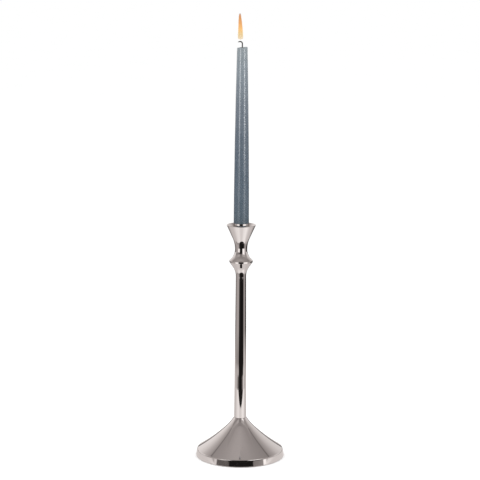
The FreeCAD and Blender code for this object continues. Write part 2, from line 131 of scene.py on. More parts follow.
def placed(name, bm, material):
    """Turns a bmesh into an object of one material in the scene."""
    mesh = bpy.data.meshes.new(name)
    bm.to_mesh(mesh)
    bm.free()
    mesh.materials.append(material)
    piece = bpy.data.objects.new(name, mesh)
    bpy.context.scene.collection.objects.link(piece)
    return piece


def finished(name, bm, body, node, material, sharp=40.0):
    """Closes and smooths a bmesh and makes it a piece that rides on a body and stands for a CAD node."""
    bmesh.ops.remove_doubles(bm, verts=bm.verts, dist=1e-7)
    bmesh.ops.dissolve_degenerate(bm, edges=bm.edges, dist=1e-8)
    bmesh.ops.recalc_face_normals(bm, faces=bm.faces)
    piece = placed(name, bm, material)
    piece.data.shade_smooth()
    piece.data.set_sharp_from_angle(angle=math.radians(sharp))
    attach(piece, body)
    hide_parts(node)
    return piece


def spun(outline, steps=TURN_STEPS):
    """A bmesh of a closed half section turned about the Z axis."""
    bm = bmesh.new()
    verts = [bm.verts.new((x, 0.0, z)) for x, z in outline]
    for index, vert in enumerate(verts):
        following = verts[(index + 1) % len(verts)]
        if vert.co.x > 0 or following.co.x > 0:
            bm.edges.new((vert, following))
    bmesh.ops.spin(bm, geom=bm.verts[:] + bm.edges[:], cent=(0, 0, 0), axis=(0, 0, 1),
                   angle=math.tau, steps=steps, use_merge=True)
    bmesh.ops.remove_doubles(bm, verts=bm.verts, dist=1e-7)
    return bm


# ---------------------------------------------------------------- shader helpers

class Nodes:
    """Short ways of adding and linking nodes in one tree."""

    def __init__(self, tree):
        self.tree = tree

    def add(self, kind, values=None, **settings):
        node = self.tree.nodes.new(kind)
        for name, value in settings.items():
            setattr(node, name, value)
        for socket, value in (values or {}).items():
            if isinstance(value, bpy.types.NodeSocket):
                self.tree.links.new(value, node.inputs[socket])
            else:
                node.inputs[socket].default_value = value
        return node

    def math(self, operation, first, second=0.0, clamp=False):
        return self.add("ShaderNodeMath", {0: first, 1: second}, operation=operation,
                        use_clamp=clamp).outputs[0]

    def noise(self, vector, scale, detail=2.0, roughness=0.5):
        node = self.add("ShaderNodeTexNoise", {"Vector": vector, "Scale": scale, "Detail": detail,
                                               "Roughness": roughness})
        return node.outputs["Fac"]

    def ramp(self, fac, stops, interpolation="LINEAR"):
        node = self.add("ShaderNodeValToRGB", {"Fac": fac})
        node.color_ramp.interpolation = interpolation
        elements = node.color_ramp.elements
        while len(elements) < len(stops):
            elements.new(1.0)
        for element, (place, colour) in zip(elements, stops):
            element.position = place
            element.color = colour if len(colour) == 4 else (*colour, 1.0)
        return node.outputs["Color"]

    def spread(self, value, low, high, start=0.0, end=1.0):
        return self.add("ShaderNodeMapRange", {"Value": value, "From Min": low, "From Max": high,
                                               "To Min": start, "To Max": end}).outputs["Result"]

    def mix(self, fac, first, second, blend="MIX"):
        node = self.add("ShaderNodeMix", data_type="RGBA", blend_type=blend)
        for socket, value in ((0, fac), (6, first), (7, second)):
            if isinstance(value, bpy.types.NodeSocket):
                self.tree.links.new(value, node.inputs[socket])
            else:
                node.inputs[socket].default_value = value
        return node.outputs[2]

    def bump(self, height, distance, strength=1.0, normal=None):
        values = {"Height": height, "Distance": distance, "Strength": strength}
        if normal:
            values["Normal"] = normal
        return self.add("ShaderNodeBump", values).outputs["Normal"]

    def place(self, scale=(1, 1, 1), turn=(0, 0, 0)):
        coordinates = self.add("ShaderNodeTexCoord").outputs["Object"]
        return self.add("ShaderNodeMapping", {"Vector": coordinates, "Scale": scale,
                                              "Rotation": turn}).outputs["Vector"]

    def height(self):
        return self.add("ShaderNodeSeparateXYZ", {"Vector": self.place()}).outputs["Z"]


def new_material(name):
    """A material with an empty tree but for its output and its shader."""
    material = bpy.data.materials.new(name)
    material.use_nodes = True
    material.node_tree.nodes.clear()
    nodes = Nodes(material.node_tree)
    shader = nodes.add("ShaderNodeBsdfPrincipled")
    output = nodes.add("ShaderNodeOutputMaterial")
    material.node_tree.links.new(shader.outputs["BSDF"], output.inputs["Surface"])
    return material, nodes, shader


def set_inputs(nodes, shader, **values):
    """Sets or links the shader's sockets. Underscores in the names stand for spaces."""
    for name, value in values.items():
        socket = shader.inputs[name.replace("_", " ")]
        if isinstance(value, bpy.types.NodeSocket):
            nodes.tree.links.new(value, socket)
        else:
            socket.default_value = value


def srgb(red, green, blue):
    """A colour of 0 to 255 parts as a linear colour."""
    parts = [part / 255 for part in (red, green, blue)]
    return tuple(p / 12.92 if p <= 0.04045 else ((p + 0.055) / 1.055) ** 2.4 for p in parts)


def handling_group():
    """Marks of handling: soft smears that dull a polish and hairlines that run round it."""
    tree = bpy.data.node_groups.new("handling", "ShaderNodeTree")
    tree.interface.new_socket("Smears", in_out="INPUT", socket_type="NodeSocketFloat")
    tree.interface.new_socket("Hairlines", in_out="INPUT", socket_type="NodeSocketFloat")
    tree.interface.new_socket("Dulling", in_out="OUTPUT", socket_type="NodeSocketFloat")
    tree.interface.new_socket("Height", in_out="OUTPUT", socket_type="NodeSocketFloat")
    nodes = Nodes(tree)
    given = nodes.add("NodeGroupInput")
    smear = nodes.noise(nodes.place((1, 1, 0.5)), 55.0, 4.0, 0.6)
    smear = nodes.spread(smear, 0.45, 0.75)
    hairline = nodes.noise(nodes.place((1, 1, 40)), 60.0, 3.0, 0.7)
    dulling = nodes.math("MULTIPLY", smear, given.outputs["Smears"])
    height = nodes.math("MULTIPLY", hairline, given.outputs["Hairlines"])
    nodes.add("NodeGroupOutput", {"Dulling": dulling, "Height": height})
    return tree


handling = handling_group()


def marks(nodes, smears, hairlines):
    """The handling group placed in a material with its own strengths."""
    node = nodes.add("ShaderNodeGroup", node_tree=handling)
    node.inputs["Smears"].default_value = smears
    node.inputs["Hairlines"].default_value = hairlines
    return node.outputs["Dulling"], node.outputs["Height"]


# ---------------------------------------------------------------- materials

POLISH_ROUGHNESS = 0.035
RIPPLE_DEPTH = 0.06 * MM
HAIRLINE_DEPTH = 0.0012 * MM


def polished_nickel():
    """Nickel plate over a buffed casting: mirror bright, faintly warm, with a slow ripple in the polish."""
    material, nodes, shader = new_material("polished_nickel")
    dulling, hairline = marks(nodes, POLISH_ROUGHNESS, 1.0)
    ripple = nodes.noise(nodes.place(), 38.0, 1.0)
    normal = nodes.bump(ripple, RIPPLE_DEPTH)
    normal = nodes.bump(hairline, HAIRLINE_DEPTH, normal=normal)
    tint = nodes.mix(nodes.noise(nodes.place(), 90.0, 3.0), (0.80, 0.765, 0.75, 1), (0.77, 0.745, 0.735, 1))
    set_inputs(nodes, shader, Base_Color=tint, Metallic=1.0, Normal=normal,
               Roughness=nodes.math("ADD", dulling, POLISH_ROUGHNESS))
    return material


def bright_zinc():
    """Zinc-plated steel of the rod, bush, washers and nut, with the thread's fine turns."""
    material, nodes, shader = new_material("bright_zinc")
    dulling, hairline = marks(nodes, 0.2, 1.0)
    blotch = nodes.noise(nodes.place(), 220.0, 4.0)
    tint = nodes.mix(blotch, (0.50, 0.50, 0.48, 1), (0.64, 0.64, 0.63, 1))
    turns = nodes.add("ShaderNodeTexWave", {"Vector": nodes.place(), "Scale": 320.0, "Distortion": 0.0},
                      bands_direction="Z").outputs["Fac"]
    normal = nodes.bump(turns, 0.00015, 0.4)
    normal = nodes.bump(hairline, 0.00001, normal=normal)
    set_inputs(nodes, shader, Base_Color=tint, Metallic=1.0, Normal=normal,
               Roughness=nodes.math("ADD", dulling, 0.28))
    return material


def cast_weight():
    """Cast iron under a thin dark paint, with the sand's grain."""
    material, nodes, shader = new_material("cast_weight")
    grain = nodes.noise(nodes.place(), 900.0, 5.0, 0.7)
    pits = nodes.spread(nodes.noise(nodes.place(), 260.0, 2.0), 0.62, 0.72)
    tint = nodes.mix(grain, (0.020, 0.020, 0.022, 1), (0.055, 0.053, 0.052, 1))
    tint = nodes.mix(pits, tint, (0.10, 0.045, 0.022, 1))
    dulling = marks(nodes, 0.15, 0.0)[0]
    set_inputs(nodes, shader, Base_Color=tint, Roughness=nodes.math("ADD", dulling, 0.62),
               Normal=nodes.bump(grain, 0.0004))
    return material


def pressed_felt():
    """Black pressed felt with loose grey fibres."""
    material, nodes, shader = new_material("pressed_felt")
    fibres = nodes.noise(nodes.place(), 1400.0, 6.0, 0.75)
    strands = nodes.noise(nodes.place((6, 1, 1), (0, 0, 0.6)), 500.0, 4.0, 0.7)
    tint = nodes.mix(nodes.spread(strands, 0.5, 0.75), (0.012, 0.012, 0.013, 1), (0.075, 0.075, 0.08, 1))
    height = nodes.math("ADD", fibres, strands)
    set_inputs(nodes, shader, Base_Color=tint, Roughness=0.95, Sheen_Weight=0.6,
               Normal=nodes.bump(height, 0.0006))
    return material


def dyed_wax_with_painted_light():
    """Blue-grey dyed wax: smooth, a little translucent, with painted light that makes it paler towards the
    flame, and a faint bloom.
    """
    material, nodes, shader = new_material("dyed_wax_with_painted_light")
    # Painted light: the lowest stops are the dye's own blue-grey, and above them the ramp paints the wax
    # paler towards the top, standing in for the flame's light in the wax.
    level = nodes.spread(nodes.height(), cup_high.z, wax_high.z)
    tint = nodes.ramp(level, [
        (0.0, srgb(70, 84, 94)),
        (0.19, srgb(72, 85, 97)),
        (0.40, srgb(75, 87, 99)),
        (0.66, srgb(95, 104, 114)),
        (0.87, srgb(118, 127, 134)),
        (1.0, srgb(128, 136, 140)),
    ])
    bloom = nodes.noise(nodes.place((1, 1, 0.35)), 160.0, 5.0, 0.65)
    speckle = nodes.spread(nodes.noise(nodes.place(), 1500.0, 2.0), 0.60, 0.70)
    tint = nodes.mix(nodes.spread(bloom, 0.35, 0.75, 0.0, 0.08), tint, (0.34, 0.38, 0.42, 1))
    tint = nodes.mix(nodes.math("MULTIPLY", speckle, 0.10), tint, (0.45, 0.50, 0.55, 1))
    roughness = nodes.spread(bloom, 0.3, 0.8, 0.25, 0.30)
    set_inputs(nodes, shader, Base_Color=tint, Roughness=roughness, Specular_IOR_Level=0.45,
               Subsurface_Weight=0.25, Subsurface_Scale=0.004, Subsurface_Radius=(1.0, 1.05, 1.15),
               Normal=nodes.bump(bloom, 0.00002))
    return material


BROWN_BELOW = 1.5 * MM
BLACK_ABOVE = 4.0 * MM


def charred_wick():
    """Burnt cotton braid: black and crumbly, brown where it leaves the wax."""
    material, nodes, shader = new_material("charred_wick")
    level = nodes.spread(nodes.height(), wax_high.z - BROWN_BELOW, wax_high.z + BLACK_ABOVE)
    char = nodes.noise(nodes.place(), 2600.0, 4.0, 0.7)
    tint = nodes.ramp(level, [
        (0.0, (0.12, 0.10, 0.08)),
        (0.35, (0.020, 0.017, 0.014)),
        (1.0, (0.010, 0.009, 0.008)),
    ])
    tint = nodes.mix(nodes.spread(char, 0.55, 0.85), tint, (0.045, 0.038, 0.032, 1))
    set_inputs(nodes, shader, Base_Color=tint, Roughness=0.9, Normal=nodes.bump(char, 0.0003))
    return material


def burning_gas(name, colours, opacity, softness):
    """Glowing gas: its colour and its opacity change from the wick to the tip, and its edges are soft."""
    material, nodes, shader = new_material(name)
    waver = nodes.spread(nodes.noise(nodes.place((1, 1, 0.3)), 260.0, 2.0), 0.3, 0.7, -0.03, 0.03)
    level = nodes.math("ADD", nodes.spread(nodes.height(), flame_low.z, flame_high.z), waver)
    glow = nodes.ramp(level, colours)
    shown = nodes.ramp(level, [(place, (share, share, share)) for place, share in opacity])
    facing = nodes.add("ShaderNodeLayerWeight", {"Blend": 0.5}).outputs["Facing"]
    soft = nodes.math("SUBTRACT", 1.0, nodes.math("POWER", facing, softness))
    set_inputs(nodes, shader, Base_Color=(0, 0, 0, 1), Roughness=1.0, Specular_IOR_Level=0.0,
               Emission_Color=glow, Emission_Strength=1.0, Alpha=nodes.math("MULTIPLY", shown, soft))
    return material


nickel = polished_nickel()
zinc = bright_zinc()
iron = cast_weight()
felt = pressed_felt()
wax = dyed_wax_with_painted_light()
char = charred_wick()


# ---------------------------------------------------------------- base

WALL = 1.2 * MM
BAND_FLARE = 1.8 * MM
BAND_HEIGHT = 9.8 * MM
CREASE_ROUND = 3.0 * MM
NECK_RADIUS = 9.45 * MM
SHOULDER_RADIUS = 20.0 * MM
SHOULDER_HEIGHT = 43.59 * MM
NECK_CURVE = 67.7 * MM
CONE_CURVE = 257.0 * MM
STEM_BORE = 6.2 * MM
INNER_SHARE = 0.67
FELT_ROUND = 0.7 * MM


def base_shell():
    """The spun shell: a hollow-sided cone, a crease and a short rim band."""
    foot, top = base_low.z, base_high.z
    rim = base_high.x
    crease = (rim - BAND_FLARE, foot + BAND_HEIGHT)
    shoulder = (SHOULDER_RADIUS, foot + SHOULDER_HEIGHT)
    cone = arc(crease, shoulder, CONE_CURVE, -1, 40)
    neck = arc(shoulder, (NECK_RADIUS, top), NECK_CURVE, -1, 24)
    outer = rounded([(rim - WALL, foot), (rim, foot)] + cone + neck[1:] + [(STEM_BORE, top)],
                    (1,), EDGE_ROUND)
    outer = rounded(outer, (outer.index(cone[0]),), CREASE_ROUND, 12)
    inner_shoulder = (SHOULDER_RADIUS - WALL * INNER_SHARE, foot + SHOULDER_HEIGHT - WALL * INNER_SHARE)
    inner_neck = arc((NECK_RADIUS - WALL / 2, top - WALL), inner_shoulder, NECK_CURVE + WALL, 1, 16)
    inner_cone = arc(inner_shoulder, (crease[0] - WALL, crease[1] - WALL / 2), CONE_CURVE + WALL, 1, 24)
    outline = outer + [(STEM_BORE, top - WALL)] + inner_neck + inner_cone[1:]
    return finished("spun_base", spun(supported(outline)), "candlestick",
                    "base_shell", nickel)


def felt_disc():
    """The felt under the base, with a soft edge."""
    radius = felt_high.x
    outline = rounded([(0, felt_low.z), (radius, felt_low.z), (radius, felt_high.z), (0, felt_high.z)],
                      (1, 2), FELT_ROUND)
    bm = spun(outline, PLAIN_STEPS)
    return finished("felt_disc", bm, "candlestick", "felt_pad", felt)


# ---------------------------------------------------------------- stem, collar and cup

STEM_TOP_RADIUS = 7.5 * MM
ROD_HOLE = 3.3 * MM
# The ridge has a short upright edge: it reaches this far below and above the seam of collar and cup.
RIDGE_LAND = 0.6 * MM
RIDGE_RISE = 1.8 * MM
RIDGE_ROUND = 0.5 * MM
COLLAR_CURVE = 24.4 * MM
LOCATING_RADIUS = 6.0 * MM
LOCATING_LENGTH = 3.0 * MM
SLIP_FIT = 0.1 * MM
RECESS_SPACE = 0.3 * MM
SPIGOT = STEM_BORE - SLIP_FIT
WAIST_RADIUS = 8.86 * MM
WAIST_HEIGHT = 18.2 * MM
THROAT_CURVE = 38.8 * MM
RIM_WALL = 1.4 * MM
RIM_ROUND = 0.45 * MM
FUNNEL_DEPTH = 14.9 * MM
SOCKET_DEPTH = 7.0 * MM
SOCKET_GAP = 0.4 * MM
CANDLE_FOOT_RADIUS = 9.6 * MM
RING_SEAT = 1.5 * MM
RING_CLEARANCE = 0.02 * MM
RING_TAPER = 0.3 * MM
RING_TAPER_LENGTH = 4.0 * MM
RING_ROUND = 0.15 * MM


def stem():
    """The tapered stem with its bore."""
    outline = rounded([
        (STEM_BORE, stem_low.z), (stem_high.x, stem_low.z),
        (STEM_TOP_RADIUS, stem_high.z), (STEM_BORE, stem_high.z),
    ], (1,), EDGE_ROUND)
    return finished("turned_stem", spun(supported(outline)), "candlestick",
                    "stem_tube", nickel)


def collar():
    """The cone between the stem and the ridge."""
    shoulder, seam = stem_high.z, collar_high.z
    ridge = collar_high.x
    ridge_edge = (ridge, seam - RIDGE_LAND)
    turn = tangent_turn(COLLAR_CURVE, (ridge - STEM_TOP_RADIUS, seam - RIDGE_LAND - shoulder))
    sweep = rising_arc(STEM_TOP_RADIUS, shoulder, COLLAR_CURVE, turn)
    recess = LOCATING_RADIUS + SLIP_FIT
    recess_floor = seam - LOCATING_LENGTH - RECESS_SPACE
    outline = [(ROD_HOLE, collar_low.z), (SPIGOT, collar_low.z), (SPIGOT, shoulder)] + sweep + [
        ridge_edge, (ridge, seam), (recess, seam), (recess, recess_floor), (ROD_HOLE, recess_floor)]
    corner = outline.index(ridge_edge)
    outline = rounded(outline, (corner,), RIDGE_ROUND, 4)
    return finished("turned_collar", spun(supported(outline, FINE_GAP, FINE_STRETCH)), "candlestick",
                    "neck_collar", nickel)


def cup():
    """The cup: ridge, flare, waist, funnel and tapered socket."""
    seam = collar_high.z
    ridge, rim, top = collar_high.x, cup_high.x, cup_high.z
    waist = (WAIST_RADIUS, seam + WAIST_HEIGHT)
    turn = tangent_turn(THROAT_CURVE, (rim - WAIST_RADIUS, top - waist[1]))
    throat = rising_arc(*waist, THROAT_CURVE, turn)[1:]
    start = Vector((ridge, seam + RIDGE_RISE))
    reach = start.x - WAIST_RADIUS
    flare_curve = (reach ** 2 + (waist[1] - start.y) ** 2) / (2 * reach)
    flare = arc(start, waist, flare_curve, -1, 28)
    socket_top = top - FUNNEL_DEPTH
    mouth = wax_high.x + SOCKET_GAP
    seat = ring_high.x + RING_CLEARANCE
    outline = [(LOCATING_RADIUS, cup_low.z), (LOCATING_RADIUS, seam), (ridge, seam)] + flare + throat + [
        (rim, top), (rim - RIM_WALL, top), (seat, socket_top + RING_SEAT), (seat, socket_top),
        (mouth, socket_top),
        (CANDLE_FOOT_RADIUS + SOCKET_GAP, socket_top - SOCKET_DEPTH), (0, socket_top - SOCKET_DEPTH),
        (0, cup_low.z)]
    lip = outline.index((rim, top))
    outline = rounded(outline, (lip, lip + 1), RIM_ROUND)
    outline = rounded(outline, (3,), RIDGE_ROUND, 4)
    return finished("turned_cup", spun(supported(outline, FINE_GAP, FINE_STRETCH)), "candlestick",
                    "candle_cup", nickel)


def socket_ring():
    """The thin ring that steadies the candle above the socket."""
    inner = wax_high.x + SOCKET_GAP
    outline = rounded([(inner, ring_low.z), (ring_high.x, ring_low.z),
                       (ring_high.x, ring_high.z - RING_TAPER_LENGTH),
                       (ring_high.x - RING_TAPER, ring_high.z), (inner, ring_high.z)], (3, 4), RING_ROUND, 4)
    return finished("turned_ring", spun(supported(outline, FINE_GAP, FINE_STRETCH)), "candlestick",
                    "socket_ring", nickel)


# ---------------------------------------------------------------- candle

CANDLE_TOP_RADIUS = 7.45 * MM
CANDLE_BELLY = 0.55 * MM
TOP_SLANT = 0.085
TOP_DROP = 0.6 * MM
TOP_DEPTH = 6.0 * MM
TOP_WOBBLE = 0.35 * MM
TOP_ROUND = 0.8 * MM
SIDE_STEPS = 60
SIDE_UNEVENNESS = 0.06 * MM
AXIS_CLEARANCE = 3.0 * MM
# The melted hollow: radii and depths below the burnt rim, from its edge to the wick.
HOLLOW = ((5.9 * MM, 0.25 * MM), (4.2 * MM, 1.3 * MM), (2.0 * MM, 1.8 * MM), (0.0, 1.8 * MM))


def candle():
    """The tapered candle: a long soft curve, a burnt slanting rim and a melted hollow."""
    foot, top, radius = wax_low.z, wax_high.z - TOP_DROP, wax_high.x
    shoulder = foot + SOCKET_DEPTH
    rim_level = cup_high.z
    side = []
    for i in range(SIDE_STEPS + 1):
        share = i / SIDE_STEPS
        belly = 4 * CANDLE_BELLY * share * (1 - share)
        side.append((radius + (CANDLE_TOP_RADIUS - radius) * share + belly,
                     rim_level + (top - rim_level) * share))
    crown = [(away, top - depth) for away, depth in HOLLOW]
    outline = [(0, foot), (CANDLE_FOOT_RADIUS, foot), (radius, shoulder)] + side + crown
    edge = 2 + len(side)
    outline = rounded(outline, (edge,), TOP_ROUND, 8)
    bm = spun(outline, PLAIN_STEPS)
    for vert in bm.verts:
        share = min(max((vert.co.z - (top - TOP_DEPTH)) / TOP_DEPTH, 0.0), 1.0)
        share = share * share * (3 - 2 * share)
        wobble = noise.noise(vert.co * 160.0) * TOP_WOBBLE
        vert.co.z += share * (vert.co.x * TOP_SLANT + wobble)
        push = noise.noise(Vector((vert.co.x, vert.co.y, vert.co.z * 0.25)) * 110.0) * SIDE_UNEVENNESS
        flat = Vector((vert.co.x, vert.co.y, 0))
        if flat.length > AXIS_CLEARANCE and vert.co.z > shoulder:
            vert.co += flat.normalized() * push
    return finished("dipped_candle", bm, "candle", "candle_wax", wax, 60.0)


WICK_RADIUS = 0.85 * MM
WICK_RISE = 4.4 * MM
WICK_BEND = 3.0 * MM
WICK_TAIL = 3.2 * MM
WICK_SIDES = 14
WICK_LOOSE = 4.0 * MM
WICK_FRAYED = 3.0 * MM
WICK_FRAY = 0.12 * MM
WICK_DROOP = 0.02 * MM
WICK_NARROWING = 0.955
HIDDEN_STEPS = 20
RISE_STEPS = 12
BEND_STEPS = 14
TAIL_STEPS = 10


def wick():
    """The wick: straight up through the wax, over to the left and a little down at its burnt end."""
    bm = bmesh.new()
    bmesh.ops.create_circle(bm, cap_ends=True, segments=WICK_SIDES, radius=WICK_RADIUS)
    bmesh.ops.translate(bm, verts=bm.verts, vec=(0, 0, wick_low.z))
    face = bm.faces[:][0]

    def grow(moves):
        nonlocal face
        for move in moves:
            new = bmesh.ops.extrude_discrete_faces(bm, faces=[face])["faces"][0]
            bmesh.ops.transform(bm, matrix=move, verts=new.verts)
            face = new

    bend_start = wax_high.z + WICK_RISE
    hidden = wax_high.z - WICK_LOOSE - wick_low.z
    grow([Matrix.Translation((0, 0, hidden / HIDDEN_STEPS))] * HIDDEN_STEPS)
    above = bend_start - wax_high.z + WICK_LOOSE
    grow([Matrix.Translation((0, 0, above / RISE_STEPS))] * RISE_STEPS)
    centre = Matrix.Translation((-WICK_BEND, 0, bend_start))
    step = centre @ Matrix.Rotation(-math.radians(90) / BEND_STEPS, 4, "Y") @ centre.inverted()
    grow([step] * BEND_STEPS)
    for i in range(TAIL_STEPS):
        slope = Matrix.Translation((-WICK_TAIL / TAIL_STEPS, 0, -WICK_DROOP * i))
        grow([slope])
        middle = sum((v.co for v in face.verts), Vector()) / len(face.verts)
        narrowing = Matrix.Scale(WICK_NARROWING, 4)
        shrink = Matrix.Translation(middle) @ narrowing @ Matrix.Translation(-middle)
        bmesh.ops.transform(bm, matrix=shrink, verts=face.verts)
    for vert in bm.verts:
        if vert.co.z > wax_high.z - WICK_FRAYED:
            vert.co += noise.noise_vector(vert.co * 900.0) * WICK_FRAY
    return finished("burnt_wick", bm, "candle", "candle_wick", char, 80.0)


# ---------------------------------------------------------------- flame

FLAME_LEVELS = 48
FLAME_FOOT = 0.12
FLAME_TIP = 0.88
FLAME_POINT = 0.44
FLAME_LEAN = 0.5 * MM
FLAME_SWAY = 0.25 * MM
FLAME_SHIFT = 0.35 * MM
TIP = srgb(172, 152, 140)
DEEP_ORANGE = srgb(201, 130, 84)
ORANGE = srgb(232, 152, 80)
AMBER = srgb(252, 184, 104)
STRAW = srgb(236, 198, 132)
PALE = srgb(236, 214, 176)
GLOW = srgb(255, 236, 180)
WARM = srgb(255, 214, 160)


def flame_width(share):
    """The flame's width as a share of its widest, from its foot to its tip."""
    foot = min(share / FLAME_FOOT, 1.0)
    tip = max(1.0 - share, 0.0)
    return math.sqrt(1 - (1 - foot) ** 2) * min(1.0, (tip / FLAME_TIP) ** FLAME_POINT)


def flame(name, width, foot, tip, material):
    """One layer of the flame, leaning a little away from the candle's axis."""
    low = flame_low.z + foot
    high = flame_high.z - tip
    radius = (flame_high.x - flame_low.x) / 2 * width
    outline = [(radius * flame_width(i / FLAME_LEVELS), low + (high - low) * i / FLAME_LEVELS)
               for i in range(FLAME_LEVELS + 1)]
    outline[0] = (0, low)
    outline[-1] = (0, high)
    bm = spun(outline, FLAME_STEPS)
    middle = (flame_high.x + flame_low.x) / 2
    for vert in bm.verts:
        share = (vert.co.z - low) / (high - low)
        vert.co.x += middle + FLAME_LEAN * (1 - share) + FLAME_SWAY * math.sin(share * 5.0) - FLAME_SHIFT
    return finished(name, bm, "candle", "candle_flame", material, 180.0)


# ---------------------------------------------------------------- pieces

base_shell()
felt_disc()
stem()
collar()
cup()
socket_ring()
wax_piece = candle()
wick()
flame("flame_mantle", 1.08, 0.0, 0.0, burning_gas(
    "flame_mantle_gas",
    [(0.0, PALE), (0.40, GLOW), (0.70, WARM), (0.95, ORANGE), (1.0, TIP)],
    [(0.0, 0.0), (0.08, 0.20), (0.35, 0.22), (0.7, 0.30), (1.0, 0.5)], 2.0))
flame("flame_core", 0.94, 0.6 * MM, 0.5 * MM, burning_gas(
    "flame_core_gas",
    [(0.0, PALE), (0.26, STRAW), (0.42, AMBER), (0.62, ORANGE), (0.84, DEEP_ORANGE), (1.0, TIP)],
    [(0.0, 0.10), (0.10, 0.55), (0.35, 0.80), (0.6, 0.94), (1.0, 0.96)], 4.0))

for node_name, material in (("foot_bush", zinc), ("tie_rod", zinc), ("rod_washer", zinc),
                            ("spring_washer", zinc), ("hex_nut", zinc), ("base_weight", iron)):
    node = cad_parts[node_name]
    node.data.materials.clear()
    node.data.materials.append(material)


# ---------------------------------------------------------------- studio

def azimuth(nodes, place):
    """The angle in degrees round the Z axis from the camera's side of the object, positive to its right."""
    parts = nodes.add("ShaderNodeSeparateXYZ", {"Vector": place}).outputs
    forward = nodes.math("MULTIPLY", parts["Y"], -1.0)
    return nodes.math("DEGREES", nodes.math("ARCTAN2", parts["X"], forward)), parts


def grey(value):
    """A warm grey for the polish. Darker greys are warmer."""
    share = min(value, 1.0)
    return (value, value * (0.885 + 0.075 * share), value * (0.855 + 0.09 * share), 1.0)


def bands(nodes, angle, stops):
    """A grey that changes with the angle. Each stop is an angle in degrees and a brightness."""
    share = nodes.spread(angle, -180.0, 180.0)
    return nodes.ramp(share, [((degrees + 180) / 360, grey(value)) for degrees, value in stops])


def glow_piece(name, bm, colour_of):
    """A stage piece that glows and shows only in the polish."""
    material = bpy.data.materials.new(name)
    material.use_nodes = True
    material.node_tree.nodes.clear()
    nodes = Nodes(material.node_tree)
    coordinates = nodes.add("ShaderNodeTexCoord").outputs["Object"]
    angle, parts = azimuth(nodes, coordinates)
    light = nodes.add("ShaderNodeEmission", {"Color": colour_of(nodes, angle, parts), "Strength": 1.0})
    nodes.add("ShaderNodeOutputMaterial", {"Surface": light.outputs[0]})
    piece = placed(name, bm, material)
    piece.visible_camera = False
    piece.visible_diffuse = False
    piece.visible_shadow = False
    piece.visible_transmission = False
    return piece


SCREEN_RADIUS = 0.40
SCREEN_HEIGHT = 0.90
SCREEN_HALF_TURN = 100.0
ROOM_RADIUS = 3.0


def screen():
    """A half drum round the front of the object: a dark slot for the camera, grey and white beside it."""
    bm = bmesh.new()
    first = math.radians(-90 - SCREEN_HALF_TURN)
    foot = bm.verts.new((SCREEN_RADIUS * math.cos(first), SCREEN_RADIUS * math.sin(first), 0.0005))
    head = bm.verts.new((SCREEN_RADIUS * math.cos(first), SCREEN_RADIUS * math.sin(first), SCREEN_HEIGHT))
    edge = bm.edges.new((foot, head))
    bmesh.ops.spin(bm, geom=[foot, head, edge], cent=(0, 0, 0), axis=(0, 0, 1),
                   angle=math.radians(2 * SCREEN_HALF_TURN), steps=100)

    def colour(nodes, angle, parts):
        height = parts["Z"]
        foot_band = bands(nodes, angle, [
            (-78, 0.55), (-66, 0.50), (-64, 0.78), (-59, 0.78), (-57, 0.13), (-27, 0.13), (-25, 0.012),
            (31, 0.012), (33, 0.24), (58, 0.32), (60, 1.2), (67, 1.2), (69, 0.50), (100, 0.62)])
        low_band = bands(nodes, angle, [
            (-110, 0.46), (-60, 0.58), (-38, 0.58), (-27, 0.012), (50, 0.012), (60, 0.70), (100, 0.64)])
        middle_band = bands(nodes, angle, [
            (-110, 0.33), (-60, 0.36), (-40, 0.34), (-31, 0.012), (58, 0.012), (66, 0.66), (92, 0.66),
            (112, 0.34)])
        upper_band = bands(nodes, angle, [
            (-110, 0.40), (-70, 0.48), (-42, 0.44), (-30, 0.02), (-8, 0.02), (4, 0.010), (50, 0.010),
            (66, 0.32), (86, 0.44), (100, 0.40)])
        left_patch = bands(nodes, angle, [
            (-110, 0.40), (-60, 0.50), (-52, 1.15), (-30, 1.15), (-20, 0.012), (20, 0.012), (30, 1.2),
            (60, 1.2), (70, 0.48), (110, 0.42)])
        right_patch = bands(nodes, angle, [
            (-110, 0.32), (-60, 0.30), (-30, 0.20), (-16, 0.03), (20, 0.03), (30, 1.2), (58, 1.2),
            (68, 0.36), (110, 0.36)])
        dim_band = bands(nodes, angle, [
            (-110, 0.38), (-60, 0.42), (-45, 0.50), (-26, 0.46), (-10, 0.24), (10, 0.24), (26, 0.46),
            (58, 0.50), (68, 0.40), (110, 0.36)])
        top_band = bands(nodes, angle, [
            (-110, 0.36), (-50, 0.35), (-14, 0.30), (14, 0.30), (50, 0.34), (110, 0.33)])
        levels = [(0.022, 0.026, low_band), (0.034, 0.045, middle_band), (0.060, 0.10, upper_band),
                  (0.190, 0.205, left_patch), (0.345, 0.355, right_patch), (0.44, 0.48, dim_band),
                  (0.60, 0.64, top_band)]
        result = foot_band
        for start, end, band in levels:
            result = nodes.mix(nodes.spread(height, start, end), result, band)
        return result

    return glow_piece("screen", bm, colour)


